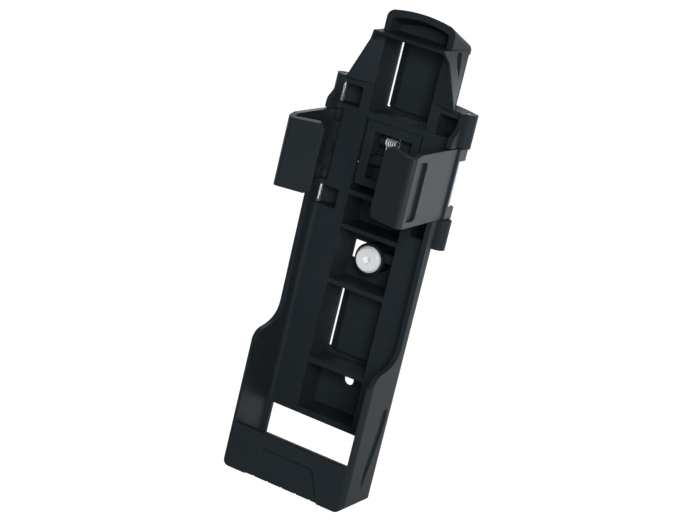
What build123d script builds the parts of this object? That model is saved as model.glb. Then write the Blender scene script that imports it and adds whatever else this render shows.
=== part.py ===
# Bike lock bracket: an open tray that carries a folded lock on a bicycle frame.
# Frame: +Z runs up the tray to the grip, -Y is the open front, +Y faces the bicycle.
# The origin is the centre of the lower screw hole on the rear seat. Millimetres.
import os

from build123d import *

os.makedirs("parts", exist_ok=True)

# mounting on two threaded bosses
boss_spacing = 64.0
lower_boss_z = 0.0
upper_boss_z = boss_spacing
lower_hole_r = 2.8
screw_shank_r = 2.5
screw_waist_r = 2.2
thread_start_y = 0.4
screw_reach = 12.0
head_r = 6.5
head_rim_y = -13.2
head_dome = 1.4
head_top_r = 5.5
head_rim_height = 1.2
socket_flats = 4.0
socket_depth = 1.9
washer_r = 7.2
washer_thickness = 0.8
screw_clearance = 0.25
adapter_r = 7.4
adapter_tab = 4.4
adapter_tab_reach = 12.4
adapter_tab_rise = 3.0
adapter_key_x = (-6.8, 14.3)

# tray walls and floor
body_half_width = 34.2
wall_thickness = 2.6
floor_front_y = -18.8
floor_thickness = 2.4
rear_corner_r = 6.0
front_corner_r = 3.0
floor_corner_r = 2.2
pocket_front_y = -47.7
floor_edge_x = 28.4
rail_front_y = -26.0
hinge_rail_front_y = -27.0
pocket_bottom_z = -47.8
pocket_rim_z = -25.2
pocket_open_z = 42.0
heel_r = 8.5
rim_corner_r = 2.0
foot_corner_r = 4.5
rear_open_top_z = -19.4
rear_open_bottom_z = -36.0
rear_open_half_width = 29.6
front_wall_thickness = 2.8
base_thickness = 2.6
shoulder_foot_z = 10.0
side_groove_depth = 1.0
relief_depth = 1.2
relief_slant = 1.1
relief_top_z = -32.2
relief_top_half = 14.5
relief_bottom_half = 21.2
tick_spacing = 8.0
tick_width = 0.8
tick_depth = 0.8

# spine: a channel behind the floor, split by cross ribs
spine_half_width = 20.0
spine_corner_r = 1.6
channel_half_width = 15.5
spine_bottom_z = -18.8
lower_bay = (-16.2, 7.0)
strap_bay_low = (9.8, 48.1)
screw_bay = (50.6, 75.9)
plain_bay = (78.2, 92.7)
spring_bay = (95.1, 130.4)
strap_bay_high = (133.8, 170.6)
back_wall = 1.8
screw_window_half_z = 4.6
screw_window_half_x = 14.6

# saddle pads and strap slits
pad_half_width = 13.2
pad_flat_half = 8.6
pad_front_y = -5.6
pad_edge_y = -3.0
pad_wall = 2.2
strap_slit_low = (13.0, 43.2)
strap_slit_high = (135.4, 167.0)
pad_low = (13.6, 48.1)
pad_high = (136.6, 170.6)

# hinges
pin_x = 33.3
pin_y = -14.35
pin_r = 1.6
pin_fixed_clearance = 0.02
pin_running_clearance = 0.06
knuckle_r = 4.4
hinge_block_low = (81.2, 95.6)
hinge_block_high = (130.8, 146.8)
hinge_window_low = (83.4, 93.0)
hinge_window_high = (133.6, 143.4)
hinge_window_inner_x = 20.8
hinge_skin = 1.7
pin_bottom_z = 82.0
pin_top_z = 146.6

# clamp wings
wing_z = (96.0, 130.4)
wing_knuckle_height = 6.0
wing_outer_x = 34.4
wing_thickness = 2.7
wing_corner_y = -61.5
wing_tip_x = 16.2
wing_tip_y = -56.8
wing_bend_r = 2.9
flap_corner_r = 5.0
flap_heel_r = 3.8
wing_root_y = -27.0
wing_fall_y = -54.5
wing_front_z = (95.3, 127.8)
wing_front_r = 2.4
wing_slot_y = (-56.8, -47.8)
wing_slot_z = (98.2, 126.2)
wing_slot_corner_r = 2.4
wing_slot_depth = 1.4
wing_room_span = 20.0
wing_room_depth = 30.0
wing_web_front_y = -21.0
wing_web_rear_y = -12.5
wing_web_inner_x = 29.2
wing_web_thickness = 1.7
lever_z = (107.5, 112.5)
lever_end_x = 8.2
lever_end_y = -4.6
lever_thickness = 2.6
lever_slot_margin = 1.2

# neck and grip
neck_base_z = hinge_block_high[1]
neck_rear_y = -2.5
neck_bend_z = 167.5
neck_top_z = 172.6
neck_front_y = -22.6
neck_tip_front_y = -26.4
neck_base_half = 29.3
neck_bend_half = spine_half_width + 1.3
neck_tip_half = spine_half_width - 1.3
neck_rim = 0.9
shelf_thickness = 1.7
neck_recess_x = 19.0
neck_recess_z = 168.2
neck_recess_lean = 0.2
grip_front_y = -17.3
grip_half_width = spine_half_width - 1.7
grip_shoulder_z = 182.2
grip_crown_z = 184.6
grip_shoulder_r = 4.4
grip_rear_half = spine_half_width
grip_rear_shoulder_z = 174.4
grip_rear_crown_z = 178.8
grip_rear_shoulder_r = 3.0
grip_band = 3.1
grip_hollow_rear_y = -6.5

# spring, its cover and its axle
cover_gap = 0.9
cover_front_y = -17.9
cover_thickness = 2.0
cover_bottom_z = 98.6
cover_window_half = 10.0
cover_window_z = (102.6, 125.0)
cover_chamfer = 0.5
cover_cheek = 1.4
cover_cheek_rear_y = -9.0
sleeve_x = 1.9
sleeve_inner_r = 2.65
sleeve_outer_r = 3.4
axle_z = 120.6
axle_y = -9.6
axle_r = 1.1
axle_half_length = 9.6
spring_wire_r = 0.46
spring_coil_r = 1.85
spring_turns = 5
spring_inner_x = 0.7
spring_outer_x = 6.6
spring_steps = 8
spring_leg = 8.4
spring_bridge = 4.5
spring_rest_gap = 0.05
spring_leg_end_z = 109.6
spring_hook_y = -6.4
spring_bridge_z = 127.4
spring_bridge_half = 1.1
post_inner_x = 7.6
post_outer_x = 9.4
post_end_r = 2.2
cover_ledge = 1.6
cover_ledge_low = (99.2, 103.2)
cover_ledge_high = (118.0, 129.0)

# tray shell: a U-shaped section that follows the side profile, with the spine behind it
inner_half = body_half_width - wall_thickness
floor_rear_y = floor_front_y + floor_thickness
with BuildPart() as tray_body:
    with BuildSketch(Plane.XY.offset(pocket_bottom_z)):
        with BuildLine():
            Polyline(
                (-body_half_width, pocket_front_y),
                (body_half_width, pocket_front_y),
                (body_half_width, floor_rear_y),
                (-body_half_width, floor_rear_y),
                close=True,
            )
        make_face()
        fillet(vertices().group_by(Axis.Y)[-1], rear_corner_r)
        fillet(vertices().group_by(Axis.Y)[0], front_corner_r)
    extrude(amount=neck_base_z - pocket_bottom_z)
    with BuildSketch(Plane.XY.offset(pocket_bottom_z + base_thickness)):
        with BuildLine():
            Polyline(
                (-inner_half, pocket_front_y + front_wall_thickness),
                (inner_half, pocket_front_y + front_wall_thickness),
                (inner_half, floor_front_y),
                (-inner_half, floor_front_y),
                close=True,
            )
        make_face()
        fillet(vertices().group_by(Axis.Y)[-1], floor_corner_r)
    extrude(amount=neck_base_z - pocket_bottom_z, mode=Mode.SUBTRACT)
    inner_heel_r = heel_r - floor_thickness
    inner_base_z = pocket_bottom_z + base_thickness
    with BuildSketch(Plane.YZ.offset(-inner_half - 0.5)):
        with BuildLine():
            heel_fill = RadiusArc(
                (floor_front_y - inner_heel_r, inner_base_z),
                (floor_front_y, inner_base_z + inner_heel_r),
                -inner_heel_r,
            )
            Polyline(
                heel_fill @ 1,
                (floor_front_y + 1, inner_base_z + inner_heel_r),
                (floor_front_y + 1, inner_base_z - 1),
                (floor_front_y - inner_heel_r, inner_base_z - 1),
                heel_fill @ 0,
            )
        make_face()
    extrude(amount=2 * inner_half + 1)
    with BuildSketch(Plane.YZ.offset(-body_half_width - 1)):
        with BuildLine():
            bottom_line = Line((pocket_front_y, pocket_bottom_z), (floor_rear_y - heel_r, pocket_bottom_z))
            heel = TangentArc(bottom_line @ 1, (floor_rear_y, pocket_bottom_z + heel_r), tangent=(1, 0))
            rear_line = Line(heel @ 1, (floor_rear_y, neck_base_z))
            top_line = Line(rear_line @ 1, (-20.6, neck_base_z))
            crest = Spline(
                top_line @ 1,
                (-21.6, 140.2),
                (-25.0, 136.9),
                (hinge_rail_front_y, 133.0),
                tangents=[(0, -1), (0, -1)],
            )
            rail_high = Line(crest @ 1, (hinge_rail_front_y, 88.0))
            rail_low = Line(rail_high @ 1, (rail_front_y, 34.0))
            shoulder = Spline(
                rail_low @ 1,
                (-27.7, 27.6),
                (-32.0, 24.1),
                (-38.3, 22.1),
                (-43.6, 19.9),
                (-46.6, 15.8),
                (pocket_front_y, shoulder_foot_z),
                tangents=[(0, -1), (0, -1)],
            )
            Line(shoulder @ 1, bottom_line @ 0)
        make_face()
    extrude(amount=2 * body_half_width + 2, mode=Mode.INTERSECT)
    with BuildSketch(Plane.XZ.offset(-pocket_front_y + 1)):
        with BuildLine():
            Polyline(
                (-body_half_width, pocket_bottom_z),
                (body_half_width, pocket_bottom_z),
                (body_half_width, neck_base_z),
                (-body_half_width, neck_base_z),
                close=True,
            )
        make_face()
        fillet(vertices().group_by(Axis.Y)[0], foot_corner_r)
    extrude(amount=pocket_front_y - 1, mode=Mode.INTERSECT)
    # the front wall stops at the rim, and the pocket is open behind the lock's foot
    with BuildSketch(Plane.XZ.offset(-pocket_front_y + 1)):
        with Locations((0, (pocket_rim_z + pocket_open_z) / 2)):
            Rectangle(2 * inner_half, pocket_open_z - pocket_rim_z)
        fillet(vertices().group_by(Axis.Y)[0], rim_corner_r)
    extrude(amount=-(front_wall_thickness + 3), mode=Mode.SUBTRACT)
    with BuildSketch(Plane.XZ.offset(-floor_front_y + 1)):
        with Locations((0, (rear_open_top_z + rear_open_bottom_z) / 2)):
            Rectangle(2 * rear_open_half_width, rear_open_top_z - rear_open_bottom_z)
    extrude(amount=floor_front_y - 1, mode=Mode.SUBTRACT)

    # spine and hinge blocks, drawn in plan
    with BuildSketch(Plane.XY.offset(spine_bottom_z)):
        with BuildLine():
            Polyline(
                (-spine_half_width, floor_rear_y),
                (spine_half_width, floor_rear_y),
                (spine_half_width, 0),
                (-spine_half_width, 0),
                close=True,
            )
        make_face()
        fillet(vertices().group_by(Axis.Y)[-1], spine_corner_r)
    extrude(amount=neck_top_z - spine_bottom_z)
    for low, high in (hinge_block_low, hinge_block_high):
        for side in (-1, 1):
            with BuildSketch(Plane.XY.offset(low)):
                with BuildLine():
                    Polyline(
                        (side * (spine_half_width - 2), floor_rear_y - 0.5),
                        (side * (pin_x + 0.6), floor_rear_y - 0.5),
                        (side * (pin_x + 2.6), pin_y + 3.5),
                        (side * 30.2, -7.4),
                        (side * 23.4, -4.4),
                        (side * (spine_half_width - 2), -3.6),
                        close=True,
                    )
                make_face()
                with Locations((side * pin_x, pin_y)):
                    Circle(knuckle_r)
            extrude(amount=high - low)

    # neck: side walls that flare from the grip down to the hinges
    neck_sections = (
        (neck_base_z, neck_base_half, neck_front_y),
        (neck_bend_z, neck_bend_half, neck_front_y),
        (neck_top_z, neck_tip_half, neck_tip_front_y),
    )
    for lower, upper in zip(neck_sections[:-1], neck_sections[1:]):
        for level, half, front in (lower, upper):
            with BuildSketch(Plane.XY.offset(level)):
                with BuildLine():
                    Polyline(
                        (-spine_half_width, neck_rear_y),
                        (-half, front),
                        (half, front),
                        (spine_half_width, neck_rear_y),
                        close=True,
                    )
                make_face()
        loft()
    for lower, upper in zip(neck_sections[:-1], neck_sections[1:]):
        for level, half, front in (lower, upper):
            with BuildSketch(Plane.XY.offset(level - (shelf_thickness if level == neck_top_z else 0))):
                with BuildLine():
                    Polyline(
                        (-channel_half_width, floor_front_y),
                        (-half + neck_rim, front),
                        (-half + neck_rim, front - 12),
                        (half - neck_rim, front - 12),
                        (half - neck_rim, front),
                        (channel_half_width, floor_front_y),
                        close=True,
                    )
                make_face()
        loft(mode=Mode.SUBTRACT)

    # grip: a hooded hollow above the shelf
    for y, half, shoulder_z, crown_z, corner_r in (
        (grip_front_y, grip_half_width, grip_shoulder_z, grip_crown_z, grip_shoulder_r),
        (0, grip_rear_half, grip_rear_shoulder_z, grip_rear_crown_z, grip_rear_shoulder_r),
    ):
        with BuildSketch(Plane.XZ.offset(-y)):
            with BuildLine():
                crown = ThreePointArc((-half, shoulder_z), (0, crown_z), (half, shoulder_z))
                Polyline(crown @ 1, (half, neck_top_z - 2), (-half, neck_top_z - 2), crown @ 0)
            make_face()
            fillet(vertices().group_by(Axis.Y)[-1], corner_r)
    loft()
    hollow_drop = (grip_crown_z - grip_rear_crown_z) * (grip_front_y - grip_hollow_rear_y) / grip_front_y
    for y, drop in ((grip_front_y - 0.5, 0), (grip_hollow_rear_y, hollow_drop)):
        half = grip_half_width - grip_band
        shoulder_z = grip_shoulder_z - grip_band - drop
        crown_z = grip_crown_z - grip_band - drop
        with BuildSketch(Plane.XZ.offset(-y)):
            with BuildLine():
                crown = ThreePointArc((-half, shoulder_z), (0, crown_z), (half, shoulder_z))
                Polyline(crown @ 1, (half, neck_top_z), (-half, neck_top_z), crown @ 0)
            make_face()
            fillet(vertices().group_by(Axis.Y)[-1], 1.8)
    loft(mode=Mode.SUBTRACT)

    # bays of the channel
    for low, high in (lower_bay, strap_bay_low, screw_bay, plain_bay, spring_bay, strap_bay_high):
        with BuildSketch(Plane.XZ.offset(30)):
            with Locations((0, (low + high) / 2)):
                Rectangle(2 * channel_half_width, high - low)
        extrude(amount=-(30 - back_wall), mode=Mode.SUBTRACT)

    # saddle pads with strap slits at both sides, hollow behind to sit on a tube
    for low, high in (pad_low, pad_high):
        with BuildSketch(Plane.XY.offset(low)):
            with BuildLine():
                Polyline(
                    (-pad_half_width, -0.9),
                    (-pad_half_width, pad_edge_y),
                    (-pad_flat_half, pad_front_y),
                    (pad_flat_half, pad_front_y),
                    (pad_half_width, pad_edge_y),
                    (pad_half_width, -0.9),
                    close=True,
                )
            make_face()
        extrude(amount=high - low)
        with BuildSketch(Plane.XY.offset(low - 0.8)):
            with BuildLine():
                Polyline(
                    (-pad_half_width, 0.5),
                    (-pad_half_width, pad_edge_y + pad_wall),
                    (-pad_flat_half + 0.6, pad_front_y + pad_wall),
                    (pad_flat_half - 0.6, pad_front_y + pad_wall),
                    (pad_half_width, pad_edge_y + pad_wall),
                    (pad_half_width, 0.5),
                    close=True,
                )
            make_face()
        extrude(amount=high - low + 0.8, mode=Mode.SUBTRACT)
    for low, high in (strap_slit_low, strap_slit_high):
        slit_centre = (pad_half_width + channel_half_width) / 2
        with BuildSketch(Plane.XZ.offset(12)):
            with Locations((-slit_centre, (low + high) / 2), (slit_centre, (low + high) / 2)):
                Rectangle(channel_half_width - pad_half_width, high - low)
        extrude(amount=-13, mode=Mode.SUBTRACT)

    # posts that carry the spring axle, and ledges under the spring cover
    for side in (-1, 1):
        with BuildSketch(Plane.YZ.offset(side * post_inner_x)):
            with Locations(((axle_y - back_wall + 0.5) / 2, axle_z)):
                Rectangle(-back_wall + 0.5 - axle_y, 2 * post_end_r)
            with Locations((axle_y, axle_z)):
                Circle(post_end_r)
        extrude(amount=side * (post_outer_x - post_inner_x))
        for low, high in (cover_ledge_low, cover_ledge_high):
            with Locations((side * (channel_half_width + 0.5), cover_front_y + cover_thickness, low)):
                Box(
                    cover_ledge + 0.5,
                    cover_ledge,
                    high - low,
                    align=(Align.MAX if side > 0 else Align.MIN, Align.MIN, Align.MIN),
                )
    with BuildSketch(Plane.YZ.offset(-post_outer_x - 1)):
        with Locations((axle_y, axle_z)):
            Circle(axle_r + pin_fixed_clearance)
    extrude(amount=2 * post_outer_x + 2, mode=Mode.SUBTRACT)

    # screw places
    with BuildSketch(Plane.XZ.offset(back_wall + 1)):
        with Locations((0, upper_boss_z)):
            Rectangle(2 * screw_window_half_x, 2 * screw_window_half_z)
        with Locations((0, lower_boss_z)):
            Circle(lower_hole_r)
    extrude(amount=-(back_wall + 2), mode=Mode.SUBTRACT)

    # room for the wings, and slots in the spine for their levers
    wing_room = hinge_block_high[0] - hinge_block_low[1]
    wing_mid_z = (hinge_block_high[0] + hinge_block_low[1]) / 2
    lever_low = lever_z[0] - lever_slot_margin
    lever_high = lever_z[1] + lever_slot_margin
    for side in (-1, 1):
        with Locations((side * (floor_edge_x + wing_room_span / 2), floor_rear_y, wing_mid_z)):
            Box(wing_room_span, wing_room_depth, wing_room, mode=Mode.SUBTRACT)
        lever_slot_x = side * (channel_half_width + spine_half_width) / 2
        with Locations((lever_slot_x, -back_wall, (lever_low + lever_high) / 2)):
            Box(
                spine_half_width - channel_half_width + 2,
                -floor_rear_y - back_wall,
                lever_high - lever_low,
                align=(Align.CENTER, Align.MAX, Align.CENTER),
                mode=Mode.SUBTRACT,
            )

    # hollow hinge blocks, open to the front, with bores for the pins
    for low, high in (hinge_window_low, hinge_window_high):
        for side in (-1, 1):
            with BuildSketch(Plane.XY.offset(low)):
                with BuildLine():
                    Polyline(
                        (side * hinge_window_inner_x, floor_front_y - 10),
                        (side * (inner_half - 0.2), floor_front_y - 10),
                        (side * (inner_half - 0.2), floor_front_y),
                        (side * pin_x, pin_y - 2.0),
                        (side * pin_x, pin_y + 2.0),
                        (side * 29.4, -9.7),
                        (side * hinge_window_inner_x, -6.6),
                        close=True,
                    )
                make_face()
                with Locations((side * pin_x, pin_y)):
                    Circle(knuckle_r - hinge_skin)
            extrude(amount=high - low, mode=Mode.SUBTRACT)
    with BuildSketch(Plane.XY.offset(pin_bottom_z)):
        with Locations((-pin_x, pin_y), (pin_x, pin_y)):
            Circle(pin_r + pin_fixed_clearance)
    extrude(amount=neck_base_z + 1 - pin_bottom_z, mode=Mode.SUBTRACT)

    # grooves moulded into the outer sides
    for side in (-1, 1):
        groove_plane = Plane(origin=(side * (body_half_width + 1), 0, 0), x_dir=(0, 1, 0), z_dir=(1, 0, 0))
        with BuildSketch(groove_plane):
            with BuildLine():
                groove_rear = Spline(
                    (-24.6, 2.2), (-24.2, -6.6), (-25.7, -15.6), (-27.8, -23.9), (-32.1, -38.8)
                )
                groove_front = Spline(
                    (-32.1, -38.8), (-33.6, -29.0), (-31.8, -18.0), (-30.2, -7.7), (-29.6, 1.0)
                )
                Line(groove_front @ 1, groove_rear @ 0)
            make_face()
        extrude(amount=-side * (side_groove_depth + 1), mode=Mode.SUBTRACT)
        recess_plane = Plane(
            origin=(side * neck_recess_x, 0, neck_recess_z),
            x_dir=(0, 1, 0),
            z_dir=(side * 1.0, 0, neck_recess_lean),
        )
        with BuildSketch(recess_plane):
            with BuildLine():
                Polyline(
                    (-13.3, 3.6),
                    (-9.0, 3.6),
                    (-8.9, -9.6),
                    (-13.9, -3.0),
                    close=True,
                )
            make_face()
            fillet(vertices().group_by(Axis.Y)[-1], 1.6)
        extrude(amount=6, mode=Mode.SUBTRACT)

    # front wall: a slanted border around a sunk trapezoid field, and mould ticks at the foot
    for inset, depth in ((0, 0), (relief_slant, relief_depth)):
        with BuildSketch(Plane.XZ.offset(-pocket_front_y - depth)):
            with BuildLine():
                Polyline(
                    (-relief_bottom_half + inset, pocket_bottom_z - 1),
                    (-relief_top_half + inset, relief_top_z - inset),
                    (relief_top_half - inset, relief_top_z - inset),
                    (relief_bottom_half - inset, pocket_bottom_z - 1),
                    close=True,
                )
            make_face()
    loft(mode=Mode.SUBTRACT)
    with BuildSketch(Plane.XZ.offset(-pocket_front_y)):
        with GridLocations(tick_spacing, 1, 5, 1):
            with Locations((0, pocket_bottom_z)):
                Rectangle(tick_width, 3.2)
    extrude(amount=-(relief_depth + tick_depth), mode=Mode.SUBTRACT)

tray_body.part.label = "tray_body"
export_step(tray_body.part, "parts/tray_body.step")

# clamp wings: an arm on two knuckles, a flap in front, a lever towards the spring
for name, side in (("left_wing", -1), ("right_wing", 1)):
    with BuildPart() as wing:
        arm_x = side * (wing_outer_x - wing_thickness / 2)
        with BuildSketch(Plane.XY.offset(wing_front_z[0])):
            with BuildLine():
                FilletPolyline(
                    (arm_x, pin_y),
                    (arm_x, wing_corner_y + wing_thickness / 2),
                    (side * wing_tip_x, wing_tip_y + wing_thickness / 2),
                    radius=wing_bend_r - wing_thickness / 2,
                )
            trace(line_width=wing_thickness)
            with Locations((side * pin_x, pin_y)):
                Circle(knuckle_r)
        extrude(amount=wing_z[1] - wing_front_z[0])
        # flap corners
        with BuildSketch(Plane.XZ.offset(-wing_corner_y + 2)):
            with BuildLine():
                Polyline(
                    (side * wing_tip_x, wing_front_z[0]),
                    (side * wing_tip_x, wing_z[1] - 0.6),
                    (side * (wing_outer_x + 6), wing_z[1]),
                    (side * (wing_outer_x + 6), wing_front_z[0]),
                    close=True,
                )
            make_face()
            tip_corners = vertices().sort_by(Axis.X, reverse=side < 0)[0:2].sort_by(Axis.Y)
            fillet(tip_corners[1], flap_corner_r)
            fillet(vertices().sort_by(Axis.X, reverse=side < 0)[0:3].sort_by(Axis.Y)[0], flap_heel_r)
        extrude(amount=wing_corner_y * 1.2, mode=Mode.INTERSECT)
        # the arm's edges, seen from the side: deeper below and falling off at the bend above
        with BuildSketch(Plane.YZ.offset(side * (wing_outer_x + 1))):
            with BuildLine():
                Polyline(
                    (knuckle_r - 1, wing_z[0]),
                    (wing_root_y, wing_z[0]),
                    (wing_corner_y, wing_front_z[0]),
                    (wing_corner_y, wing_front_z[1]),
                    (wing_fall_y, wing_z[1] - 0.6),
                    (wing_root_y, wing_z[1]),
                    (knuckle_r - 1, wing_z[1]),
                    close=True,
                )
            make_face()
            fillet(vertices().group_by(Axis.X)[0].sort_by(Axis.Y)[-1], wing_front_r)
        extrude(amount=-side * (wing_outer_x + 1 - wing_tip_x + 20), mode=Mode.INTERSECT)
        # the pin lies free between the knuckles; a web passes it on the inner side
        knuckle_low = wing_z[0] + wing_knuckle_height
        knuckle_high = wing_z[1] - wing_knuckle_height
        with Locations((side * pin_x, wing_web_front_y + 4, (knuckle_low + knuckle_high) / 2)):
            Box(
                2 * knuckle_r + 1,
                14,
                knuckle_high - knuckle_low,
                align=(Align.CENTER, Align.MIN, Align.CENTER),
                mode=Mode.SUBTRACT,
            )
        with BuildSketch(Plane.XY.offset(knuckle_low - 0.5)):
            with BuildLine():
                Polyline(
                    (side * wing_web_inner_x, wing_web_front_y),
                    (side * (wing_outer_x - 1), wing_web_front_y),
                    (side * (wing_outer_x - 1), wing_web_front_y + 4),
                    (side * (wing_web_inner_x + wing_web_thickness), wing_web_front_y + 4),
                    (side * (wing_web_inner_x + wing_web_thickness), wing_web_rear_y),
                    (side * wing_web_inner_x, wing_web_rear_y),
                    close=True,
                )
            make_face()
        extrude(amount=knuckle_high - knuckle_low + 1)
        # lever
        with BuildSketch(Plane.XY.offset(lever_z[0])):
            with BuildLine():
                Line(
                    (side * (wing_web_inner_x + wing_web_thickness / 2), wing_web_rear_y - 1.3),
                    (side * lever_end_x, lever_end_y),
                )
            trace(line_width=lever_thickness)
            with Locations((side * lever_end_x, lever_end_y)):
                Circle(lever_thickness / 2)
        extrude(amount=lever_z[1] - lever_z[0])
        # long recess on the arm's outer face
        recess_centre = ((wing_slot_y[0] + wing_slot_y[1]) / 2, (wing_slot_z[0] + wing_slot_z[1]) / 2)
        with BuildSketch(Plane.YZ.offset(side * (wing_outer_x + 1))):
            with Locations(recess_centre):
                RectangleRounded(
                    wing_slot_y[1] - wing_slot_y[0],
                    wing_slot_z[1] - wing_slot_z[0],
                    wing_slot_corner_r,
                )
        extrude(amount=-side * (wing_slot_depth + 1), mode=Mode.SUBTRACT)
        # bore for the pin
        with BuildSketch(Plane.XY.offset(wing_z[0] - 1)):
            with Locations((side * pin_x, pin_y)):
                Circle(pin_r + pin_running_clearance)
        extrude(amount=wing_z[1] - wing_z[0] + 2, mode=Mode.SUBTRACT)
    wing.part.label = name
    export_step(wing.part, f"parts/{name}.step")

# hinge pins
for name, side in (("left_hinge_pin", -1), ("right_hinge_pin", 1)):
    with BuildPart() as hinge_pin:
        with BuildSketch(Plane.XY.offset(pin_bottom_z)):
            with Locations((side * pin_x, pin_y)):
                Circle(pin_r)
        extrude(amount=pin_top_z - pin_bottom_z)
    hinge_pin.part.label = name
    export_step(hinge_pin.part, f"parts/{name}.step")

# spring cover: a plate with a window, cheeks behind it and a half sleeve over one coil
with BuildPart() as spring_cover:
    cover_half = channel_half_width - cover_gap
    with BuildSketch(Plane.XZ.offset(-cover_front_y)):
        with Locations((0, (cover_bottom_z + spring_bay[1]) / 2)):
            Rectangle(2 * cover_half, spring_bay[1] - cover_bottom_z)
    extrude(amount=-cover_thickness)
    window_height = cover_window_z[1] - cover_window_z[0]
    with BuildSketch(Plane.XZ.offset(-cover_front_y)):
        with Locations((0, (cover_window_z[0] + cover_window_z[1]) / 2)):
            Rectangle(2 * cover_window_half + 2 * cover_chamfer, window_height + 2 * cover_chamfer)
    with BuildSketch(Plane.XZ.offset(-cover_front_y - cover_chamfer)):
        with Locations((0, (cover_window_z[0] + cover_window_z[1]) / 2)):
            Rectangle(2 * cover_window_half, window_height)
    loft(mode=Mode.SUBTRACT)
    with BuildSketch(Plane.XZ.offset(-cover_front_y)):
        with Locations((0, (cover_window_z[0] + cover_window_z[1]) / 2)):
            Rectangle(2 * cover_window_half, window_height)
    extrude(amount=-cover_thickness, mode=Mode.SUBTRACT)
    # cheeks behind the window, parted where the levers pass
    cheek_front_y = cover_front_y + cover_thickness - 0.4
    for side in (-1, 1):
        for low, high in ((cover_window_z[0], lever_low), (lever_high, cover_window_z[1])):
            with Locations((side * cover_window_half, cheek_front_y, low)):
                Box(
                    cover_cheek,
                    cover_cheek_rear_y - cheek_front_y,
                    high - low,
                    align=(Align.MIN if side > 0 else Align.MAX, Align.MIN, Align.MIN),
                )
    # half sleeve in front of one coil
    with BuildSketch(Plane.YZ.offset(sleeve_x)):
        with Locations((axle_y, axle_z)):
            Circle(sleeve_outer_r)
            Circle(sleeve_inner_r, mode=Mode.SUBTRACT)
        with Locations((axle_y, axle_z)):
            Rectangle(
                2 * sleeve_outer_r,
                2 * sleeve_outer_r,
                align=(Align.MIN, Align.CENTER),
                mode=Mode.SUBTRACT,
            )
    extrude(amount=cover_window_half + 0.4 - sleeve_x)
spring_cover.part.label = "spring_cover"
export_step(spring_cover.part, "parts/spring_cover.step")

# axle across the two posts
with BuildPart() as spring_axle:
    with BuildSketch(Plane.YZ.offset(-axle_half_length)):
        with Locations((axle_y, axle_z)):
            Circle(axle_r)
    extrude(amount=2 * axle_half_length)
spring_axle.part.label = "spring_axle"
export_step(spring_axle.part, "parts/spring_axle.step")

# double torsion spring: two coils, a bridge on the back wall, a leg towards each lever
with BuildPart() as torsion_spring:
    coil_steps = spring_turns * spring_steps
    coil_points = []
    for step in range(coil_steps + 1):
        turn = 360 * step / spring_steps
        rear = Vector(0, spring_coil_r, 0).rotate(Axis.X, -turn)
        travel = spring_inner_x + (spring_outer_x - spring_inner_x) * step / coil_steps
        coil_points.append(Vector(travel, axle_y, axle_z) + rear)
    bridge_y = -back_wall - spring_wire_r - spring_rest_gap
    with BuildLine() as spring_line:
        Polyline(
            (0, bridge_y, spring_bridge_z),
            (spring_bridge_half, bridge_y, spring_bridge_z),
            (spring_bridge_half, axle_y + spring_coil_r, axle_z + spring_bridge),
            *coil_points,
            (spring_outer_x + 0.6, axle_y + spring_coil_r, axle_z - spring_leg),
            (spring_outer_x + 0.9, spring_hook_y, spring_leg_end_z),
        )
    with BuildSketch(Plane(origin=(0, bridge_y, spring_bridge_z), z_dir=(1, 0, 0))):
        RegularPolygon(spring_wire_r, 6)
    sweep(path=spring_line.line, transition=Transition.RIGHT)
    mirror(about=Plane.YZ)
torsion_spring.part.label = "torsion_spring"
export_step(torsion_spring.part, "parts/torsion_spring.step")

# mount screw: button head with a hexagon socket, shank through the tray
with BuildPart() as mount_screw:
    seat_y = head_rim_y + head_rim_height
    with BuildSketch(Plane.XZ.offset(-seat_y)):
        with Locations((0, upper_boss_z)):
            Circle(head_r)
    extrude(amount=head_rim_height)
    with BuildSketch(Plane.XZ.offset(-head_rim_y)):
        with Locations((0, upper_boss_z)):
            Circle(head_r)
    with BuildSketch(Plane.XZ.offset(-head_rim_y + head_dome)):
        with Locations((0, upper_boss_z)):
            Circle(head_top_r)
    loft()
    with BuildSketch(Plane.XZ.offset(-head_rim_y + head_dome)):
        with Locations((0, upper_boss_z)):
            RegularPolygon(socket_flats / 2, 6, major_radius=False)
    extrude(amount=-socket_depth, mode=Mode.SUBTRACT)
    with BuildSketch(Plane.XZ.offset(-seat_y)):
        with Locations((0, upper_boss_z)):
            Circle(screw_waist_r)
    extrude(amount=-(thread_start_y - seat_y))
    with BuildSketch(Plane.XZ.offset(-thread_start_y)):
        with Locations((0, upper_boss_z)):
            Circle(screw_shank_r)
    extrude(amount=-(screw_reach - thread_start_y))
mount_screw.part.label = "mount_screw"
export_step(mount_screw.part, "parts/mount_screw.step")

# washer under the head
with BuildPart() as screw_washer:
    with BuildSketch(Plane.XZ.offset(-seat_y)):
        with Locations((0, upper_boss_z)):
            Circle(washer_r)
            Circle(screw_shank_r + screw_clearance, mode=Mode.SUBTRACT)
    extrude(amount=-washer_thickness)
screw_washer.part.label = "screw_washer"
export_step(screw_washer.part, "parts/screw_washer.step")

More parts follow.
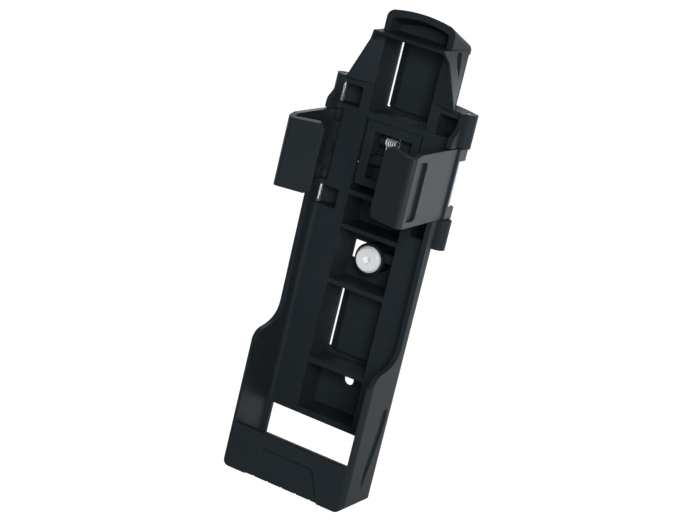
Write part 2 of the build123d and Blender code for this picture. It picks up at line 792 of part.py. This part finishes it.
# adapter sleeve between the washer and the slotted back wall, keyed in the slot
with BuildPart() as screw_adapter:
    adapter_front_y = seat_y + washer_thickness
    with BuildSketch(Plane.XZ.offset(-adapter_front_y)):
        with Locations((0, upper_boss_z)):
            Circle(adapter_r)
        with Locations((adapter_tab_reach / 2, upper_boss_z + adapter_tab_rise)):
            Rectangle(adapter_tab_reach, adapter_tab)
    extrude(amount=adapter_front_y + back_wall)
    with BuildSketch(Plane.XZ.offset(back_wall + 0.5)):
        with Locations(((adapter_key_x[0] + adapter_key_x[1]) / 2, upper_boss_z)):
            Rectangle(
                adapter_key_x[1] - adapter_key_x[0],
                2 * (screw_window_half_z - screw_clearance),
            )
    extrude(amount=-(back_wall + 0.1))
    with BuildSketch(Plane.XZ.offset(-adapter_front_y)):
        with Locations((0, upper_boss_z)):
            Circle(screw_shank_r + screw_clearance)
    extrude(amount=adapter_front_y - 1, mode=Mode.SUBTRACT)
screw_adapter.part.label = "screw_adapter"
export_step(screw_adapter.part, "parts/screw_adapter.step")
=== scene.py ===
# Bike lock bracket, dressed for a plain studio picture. Metres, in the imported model's frame.
import math

import bmesh
import bpy
from mathutils import Matrix, Vector


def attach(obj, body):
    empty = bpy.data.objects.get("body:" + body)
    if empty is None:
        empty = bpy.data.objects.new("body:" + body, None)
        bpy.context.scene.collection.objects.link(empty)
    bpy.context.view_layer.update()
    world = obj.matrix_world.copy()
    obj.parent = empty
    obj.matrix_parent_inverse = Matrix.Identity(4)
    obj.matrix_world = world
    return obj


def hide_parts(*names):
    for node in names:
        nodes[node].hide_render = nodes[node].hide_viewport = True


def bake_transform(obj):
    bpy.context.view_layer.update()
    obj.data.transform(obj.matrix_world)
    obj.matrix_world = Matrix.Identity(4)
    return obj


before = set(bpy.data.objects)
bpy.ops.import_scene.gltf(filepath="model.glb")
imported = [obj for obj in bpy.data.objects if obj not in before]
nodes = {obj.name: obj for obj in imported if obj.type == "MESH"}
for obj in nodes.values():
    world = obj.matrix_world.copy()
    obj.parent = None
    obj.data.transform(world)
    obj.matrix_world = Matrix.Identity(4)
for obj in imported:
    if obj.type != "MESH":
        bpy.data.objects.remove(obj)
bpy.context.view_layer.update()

# camera
CAMERA_PLACE = (0.4120, -0.8751, 0.3076)
CAMERA_AZIMUTH = 26.02
CAMERA_ELEVATION = 14.50
CAMERA_ROLL = 13.66
CAMERA_LENS = 106.1


def set_camera():
    a, e, r = (math.radians(v) for v in (CAMERA_AZIMUTH, CAMERA_ELEVATION, CAMERA_ROLL))
    back = Vector((math.sin(a) * math.cos(e), -math.cos(a) * math.cos(e), math.sin(e)))
    level = Vector((math.cos(a), math.sin(a), 0))
    upright = back.cross(level)
    right = math.cos(r) * level + math.sin(r) * upright
    up = math.cos(r) * upright - math.sin(r) * level
    camera = bpy.data.objects.new("Camera", bpy.data.cameras.new("Camera"))
    camera.data.lens = CAMERA_LENS
    camera.data.sensor_width = 36
    camera.data.clip_start = 0.01
    camera.matrix_world = Matrix(
        (
            (right.x, up.x, back.x, CAMERA_PLACE[0]),
            (right.y, up.y, back.y, CAMERA_PLACE[1]),
            (right.z, up.z, back.z, CAMERA_PLACE[2]),
            (0, 0, 0, 1),
        )
    )
    bpy.context.scene.collection.objects.link(camera)
    bpy.context.scene.camera = camera


# materials

EDGE_RADIUS = 0.00045
EDGE_SAMPLES = 6
CLOUD_SCALE, GRAIN_SCALE, MARKS_SCALE = 38.0, 2400.0, 900.0
RECESS_REACH = 0.02
RECESS_SAMPLES = 6
RECESS_DEEP, RECESS_OPEN = 0.40, 0.80
RECESS_ROUGHNESS = 0.95
PLASTIC_SHEEN = (0.86, 0.94, 1.0, 1)


def new_material(name):
    material = bpy.data.materials.new(name)
    material.use_nodes = True
    tree = material.node_tree
    return material, tree, tree.nodes["Principled BSDF"]


def add_node(tree, kind, **inputs):
    node = tree.nodes.new(kind)
    for name, value in inputs.items():
        node.inputs[name.replace("_", " ")].default_value = value
    return node


def calculate(tree, operation, first, second):
    node = tree.nodes.new("ShaderNodeMath")
    node.operation = operation
    tree.links.new(first, node.inputs[0])
    tree.links.new(second, node.inputs[1])
    return node.outputs["Value"]


def between(tree, value, at_start, at_end, start=0.0, end=1.0, curve="LINEAR"):
    """A value that goes from at_start to at_end while the given one goes from start to end."""
    node = add_node(
        tree,
        "ShaderNodeMapRange",
        From_Min=start,
        From_Max=end,
        To_Min=at_start,
        To_Max=at_end,
    )
    node.interpolation_type = curve
    tree.links.new(value, node.inputs["Value"])
    return node.outputs["Result"]


def mix_shaders(tree, share, first, second):
    node = tree.nodes.new("ShaderNodeMixShader")
    tree.links.new(share, node.inputs["Fac"])
    tree.links.new(first, node.inputs[1])
    tree.links.new(second, node.inputs[2])
    return node.outputs["Shader"]


def moulded_plastic(name, dark, light, rough_low, rough_high, specular):
    """Satin black plastic: cloudy colour and gloss, fine grain, soft edges and duller recesses."""
    material, tree, shader = new_material(name)
    link = tree.links.new
    place = tree.nodes.new("ShaderNodeTexCoord")
    cloud = add_node(tree, "ShaderNodeTexNoise", Scale=CLOUD_SCALE, Detail=3.0, Roughness=0.55)
    link(place.outputs["Object"], cloud.inputs["Vector"])
    tint = tree.nodes.new("ShaderNodeMix")
    tint.data_type = "RGBA"
    tint.inputs["A"].default_value = (*dark, 1)
    tint.inputs["B"].default_value = (*light, 1)
    link(cloud.outputs["Fac"], tint.inputs["Factor"])
    link(tint.outputs["Result"], shader.inputs["Base Color"])
    gloss = between(tree, cloud.outputs["Fac"], rough_low, rough_high)
    recess = add_node(tree, "ShaderNodeAmbientOcclusion", Distance=RECESS_REACH)
    recess.samples = RECESS_SAMPLES
    matte = between(tree, recess.outputs["AO"], RECESS_ROUGHNESS, rough_low, RECESS_DEEP, RECESS_OPEN)
    link(calculate(tree, "MAXIMUM", gloss, matte), shader.inputs["Roughness"])
    grain = add_node(tree, "ShaderNodeTexNoise", Scale=GRAIN_SCALE, Detail=2.0)
    link(place.outputs["Object"], grain.inputs["Vector"])
    bump = add_node(tree, "ShaderNodeBump", Strength=0.12, Distance=0.0001)
    link(grain.outputs["Fac"], bump.inputs["Height"])
    soft_edge = add_node(tree, "ShaderNodeBevel", Radius=EDGE_RADIUS)
    soft_edge.samples = EDGE_SAMPLES
    link(soft_edge.outputs["Normal"], bump.inputs["Normal"])
    link(bump.outputs["Normal"], shader.inputs["Normal"])
    shader.inputs["Specular IOR Level"].default_value = specular
    shader.inputs["Specular Tint"].default_value = PLASTIC_SHEEN
    return material


def steel_and_painted_reflection(name, colour, rough_low, rough_high, stretch, metal):
    """Steel with fine marks, drawn out along the axis that has the small stretch value. With a pale
    colour and little metal, the white it shows is a painted reflection.
    """
    material, tree, shader = new_material(name)
    link = tree.links.new
    place = tree.nodes.new("ShaderNodeTexCoord")
    along = tree.nodes.new("ShaderNodeMapping")
    along.inputs["Scale"].default_value = stretch
    marks = add_node(tree, "ShaderNodeTexNoise", Scale=MARKS_SCALE, Detail=4.0)
    link(place.outputs["Object"], along.inputs["Vector"])
    link(along.outputs["Vector"], marks.inputs["Vector"])
    link(between(tree, marks.outputs["Fac"], rough_low, rough_high), shader.inputs["Roughness"])
    bump = add_node(tree, "ShaderNodeBump", Strength=0.05, Distance=0.00002)
    link(marks.outputs["Fac"], bump.inputs["Height"])
    link(bump.outputs["Normal"], shader.inputs["Normal"])
    shader.inputs["Metallic"].default_value = metal
    shader.inputs["Base Color"].default_value = (*colour, 1)
    return material


tray_black = moulded_plastic(
    "tray_plastic",
    dark=(0.0146, 0.0194, 0.0230),
    light=(0.0186, 0.0238, 0.0276),
    rough_low=0.38,
    rough_high=0.47,
    specular=0.16,
)
wing_black = moulded_plastic(
    "wing_plastic",
    dark=(0.0115, 0.0152, 0.0183),
    light=(0.0142, 0.0183, 0.0214),
    rough_low=0.31,
    rough_high=0.40,
    specular=0.50,
)
washer_black = moulded_plastic(
    "washer_plastic",
    dark=(0.008, 0.009, 0.010),
    light=(0.012, 0.013, 0.014),
    rough_low=0.40,
    rough_high=0.55,
    specular=0.5,
)
# Pale colour with little metal: the head's white face is a painted reflection, not the steel's own.
screw_steel = steel_and_painted_reflection(
    "screw_steel",
    colour=(0.86, 0.87, 0.88),
    rough_low=0.26,
    rough_high=0.34,
    stretch=(1, 0.2, 1),
    metal=0.12,
)
pin_steel = steel_and_painted_reflection(
    "pin_steel",
    colour=(0.86, 0.88, 0.90),
    rough_low=0.12,
    rough_high=0.20,
    stretch=(1, 1, 0.1),
    metal=0.9,
)
axle_steel = steel_and_painted_reflection(
    "axle_steel",
    colour=(0.20, 0.21, 0.22),
    rough_low=0.30,
    rough_high=0.40,
    stretch=(0.1, 1, 1),
    metal=0.9,
)
# Partly metal: the pale diffuse colour paints part of the bright reflection along each turn.
spring_steel = steel_and_painted_reflection(
    "spring_steel",
    colour=(0.93, 0.94, 0.95),
    rough_low=0.22,
    rough_high=0.30,
    stretch=(0.2, 1, 1),
    metal=0.4,
)


def dress(name, material):
    mesh = nodes[name].data
    mesh.materials.clear()
    mesh.materials.append(material)


for node_name, finish in (
    ("tray_body", tray_black),
    ("left_wing", wing_black),
    ("right_wing", wing_black),
    ("spring_cover", tray_black),
    ("screw_washer", washer_black),
    ("screw_adapter", washer_black),
    ("mount_screw", screw_steel),
    ("left_hinge_pin", pin_steel),
    ("right_hinge_pin", pin_steel),
    ("spring_axle", axle_steel),
    ("torsion_spring", spring_steel),
):
    dress(node_name, finish)


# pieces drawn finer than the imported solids

AXLE_Y, AXLE_Z = -0.0096, 0.1206
WIRE_R, COIL_R, COIL_TURNS, TURN_STEPS = 0.00037, 0.00191, 5, 24
COIL_INNER_X, COIL_OUTER_X = 0.0007, 0.0066
BRIDGE_TO_COIL = (
    (0.0, -0.00231, 0.1274),
    (0.0009, -0.00231, 0.1274),
    (0.0011, -0.0026, 0.1271),
    (0.0011, -0.0073, 0.1252),
)
COIL_TO_LEVER = (
    (0.0068, -0.00774, 0.1180),
    (0.0072, -0.00775, 0.1123),
    (0.0073, -0.0075, 0.1116),
    (0.0075, -0.0064, 0.1096),
)
SCREW_Z = 0.064
WASHER_FRONT_Y, WASHER_REAR_Y, WASHER_R, WASHER_BORE_R = -0.0120, -0.0112, 0.0079, 0.00275
WASHER_RIM, WASHER_STEPS, WASHER_FLAT_FROM = 0.0003, 64, 0.9
MERGE_DISTANCE = 1e-7


def finish_piece(mesh, name, material):
    piece = bpy.data.objects.new(name, mesh)
    bpy.context.scene.collection.objects.link(piece)
    mesh.materials.clear()
    mesh.materials.append(material)
    for face in mesh.polygons:
        face.use_smooth = True
    return piece


def half_of_the_spring(name, side):
    """One coil of round wire, from the bridge on the back wall to the leg on the wing's lever."""
    points = list(BRIDGE_TO_COIL)
    steps = COIL_TURNS * TURN_STEPS
    for step in range(steps + 1):
        turn = 2 * math.pi * step / TURN_STEPS
        travel = COIL_INNER_X + (COIL_OUTER_X - COIL_INNER_X) * step / steps
        points.append((travel, AXLE_Y + COIL_R * math.cos(turn), AXLE_Z - COIL_R * math.sin(turn)))
    points += COIL_TO_LEVER
    curve = bpy.data.curves.new(name + "_line", "CURVE")
    curve.dimensions = "3D"
    curve.bevel_depth = WIRE_R
    curve.bevel_resolution = 2
    curve.use_fill_caps = True
    line = curve.splines.new("POLY")
    line.points.add(len(points) - 1)
    for knot, (x, y, z) in zip(line.points, points):
        knot.co = (side * x, y, z, 1)
    holder = bpy.data.objects.new(name + "_line", curve)
    bpy.context.scene.collection.objects.link(holder)
    mesh = bpy.data.meshes.new_from_object(holder)
    bpy.data.objects.remove(holder)
    bm = bmesh.new()
    bm.from_mesh(mesh)
    bmesh.ops.remove_doubles(bm, verts=bm.verts[:], dist=MERGE_DISTANCE)
    bmesh.ops.recalc_face_normals(bm, faces=bm.faces[:])
    bm.to_mesh(mesh)
    bm.free()
    piece = finish_piece(mesh, name, spring_steel)
    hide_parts("torsion_spring")
    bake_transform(piece)


def rubber_washer():
    """Ring under the screw head with a rounded rim."""
    bm = bmesh.new()
    outline = (
        (WASHER_BORE_R, WASHER_REAR_Y),
        (WASHER_BORE_R, WASHER_FRONT_Y),
        (WASHER_R - WASHER_RIM, WASHER_FRONT_Y),
        (WASHER_R, WASHER_FRONT_Y + WASHER_RIM),
        (WASHER_R, WASHER_REAR_Y),
    )
    corners = [bm.verts.new((radius, y, SCREW_Z)) for radius, y in outline]
    edges = [bm.edges.new(pair) for pair in zip(corners, corners[1:] + corners[:1])]
    bmesh.ops.spin(
        bm,
        geom=corners + edges,
        cent=(0, 0, SCREW_Z),
        axis=(0, 1, 0),
        angle=2 * math.pi,
        steps=WASHER_STEPS,
        use_merge=True,
    )
    bmesh.ops.remove_doubles(bm, verts=bm.verts[:], dist=MERGE_DISTANCE)
    bmesh.ops.recalc_face_normals(bm, faces=bm.faces[:])
    mesh = bpy.data.meshes.new("washer_ring")
    bm.to_mesh(mesh)
    bm.free()
    piece = finish_piece(mesh, "washer_ring", washer_black)
    for face in mesh.polygons:
        face.use_smooth = abs(face.normal.y) < WASHER_FLAT_FROM
    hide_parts("screw_washer")
    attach(piece, "tray")


half_of_the_spring("left_spring_coil", -1)
half_of_the_spring("right_spring_coil", 1)
rubber_washer()


# stage and light

FLOOR_SIZE, FLOOR_Z = 8, -0.16
FLOOR_GREY = (0.36, 0.37, 0.38, 1)
FLOOR_GLOW = (0.92, 0.97, 1, 1)
SHEET_COLOUR = (0.95, 0.98, 1, 1)
SHEET_TOP_LEVEL = 0.25
# y and z of a direction: where the sheet starts and is full, and where it falls and is low
SHEET_STARTS, SHEET_FULL = -0.15, 0.75
SHEET_FALLS, SHEET_LOW = -0.05, 0.40
# where gloss starts to see white and sees it in full: y on the floor, and y of a direction
FLOOR_WHITE_FROM, FLOOR_WHITE_AT = 0.0, 0.5
ROOM_WHITE_FROM, ROOM_WHITE_AT = 0.0, 0.6
OBJECT_MIDDLE = (0, -0.02, 0.07)


def camera_and_gloss(tree, along, start, end):
    """The camera's rays, and the gloss and glass rays that look behind the object."""
    rays = tree.nodes.new("ShaderNodeLightPath").outputs
    either = calculate(tree, "MAXIMUM", rays["Is Glossy Ray"], rays["Is Transmission Ray"])
    behind = between(tree, along, 0.0, 1.0, start, end, "SMOOTHSTEP")
    return rays["Is Camera Ray"], calculate(tree, "MULTIPLY", either, behind)


def set_stage(glow_level):
    """A floor that is white to the camera and, behind the object, to gloss. It keeps the shadow."""
    bpy.ops.mesh.primitive_plane_add(size=FLOOR_SIZE, location=(0, 0, FLOOR_Z))
    floor = bpy.context.object
    floor.name = "floor"
    material, tree, shader = new_material("floor_white")
    link = tree.links.new
    shader.inputs["Base Color"].default_value = FLOOR_GREY
    shader.inputs["Roughness"].default_value = 0.9
    place = tree.nodes.new("ShaderNodeTexCoord")
    parts = tree.nodes.new("ShaderNodeSeparateXYZ")
    link(place.outputs["Object"], parts.inputs["Vector"])
    camera, gloss = camera_and_gloss(tree, parts.outputs["Y"], FLOOR_WHITE_FROM, FLOOR_WHITE_AT)
    glow = add_node(tree, "ShaderNodeEmission", Color=FLOOR_GLOW, Strength=1.0)
    off_camera = mix_shaders(tree, gloss, shader.outputs["BSDF"], glow.outputs["Emission"])
    camera_glow = add_node(tree, "ShaderNodeEmission", Strength=glow_level)
    on_camera = tree.nodes.new("ShaderNodeAddShader")
    link(shader.outputs["BSDF"], on_camera.inputs[0])
    link(camera_glow.outputs["Emission"], on_camera.inputs[1])
    surface = mix_shaders(tree, camera, off_camera, on_camera.outputs["Shader"])
    link(surface, tree.nodes["Material Output"].inputs["Surface"])
    floor.data.materials.append(material)


def set_world(front_level, rear_level):
    """A dim room in front and a bright sheet behind, white to the camera and, behind, to gloss."""
    world = bpy.data.worlds.new("World")
    bpy.context.scene.world = world
    world.use_nodes = True
    tree = world.node_tree
    link = tree.links.new
    light = tree.nodes["Background"]
    light.inputs["Color"].default_value = SHEET_COLOUR
    way = tree.nodes.new("ShaderNodeTexCoord")
    parts = tree.nodes.new("ShaderNodeSeparateXYZ")
    link(way.outputs["Generated"], parts.inputs["Vector"])
    depth, height = parts.outputs["Y"], parts.outputs["Z"]
    level = between(tree, depth, front_level, rear_level, SHEET_STARTS, SHEET_FULL, "SMOOTHSTEP")
    fall = between(tree, height, 1.0, SHEET_TOP_LEVEL, SHEET_FALLS, SHEET_LOW, "SMOOTHSTEP")
    link(calculate(tree, "MULTIPLY", level, fall), light.inputs["Strength"])
    camera, gloss = camera_and_gloss(tree, depth, ROOM_WHITE_FROM, ROOM_WHITE_AT)
    seen = calculate(tree, "MAXIMUM", camera, gloss)
    white = add_node(tree, "ShaderNodeBackground", Color=(1, 1, 1, 1), Strength=1.0)
    surface = mix_shaders(tree, seen, light.outputs["Background"], white.outputs["Background"])
    link(surface, tree.nodes["World Output"].inputs["Surface"])


def soft_lamp(name, place, width, height, power, mirrored=True, diffuse=True):
    lamp = bpy.data.lights.new(name, "AREA")
    lamp.shape = "RECTANGLE"
    lamp.size = width
    lamp.size_y = height
    lamp.energy = power
    holder = bpy.data.objects.new(name, lamp)
    holder.location = place
    holder.rotation_euler = (Vector(OBJECT_MIDDLE) - Vector(place)).to_track_quat("-Z", "Y").to_euler()
    holder.visible_glossy = mirrored
    holder.visible_diffuse = diffuse
    bpy.context.scene.collection.objects.link(holder)


set_camera()
set_stage(glow_level=0.95)
set_world(front_level=0.05, rear_level=1.5)
soft_lamp("right_light", place=(1.2, 0.9, 0.5), width=1.0, height=1.4, power=3.5)
soft_lamp(
    "front_light",
    place=(0.74, -1.20, 0.55),
    width=0.6,
    height=0.6,
    power=21,
    mirrored=False,
)
soft_lamp(
    "corner_light",
    place=(1.35, -0.60, 0.10),
    width=0.3,
    height=1.2,
    power=7,
    diffuse=False,
)
soft_lamp("left_light", place=(-1.4, -0.05, 0.0), width=0.8, height=1.2, power=2.5)

bpy.context.scene.view_settings.view_transform = "Standard"
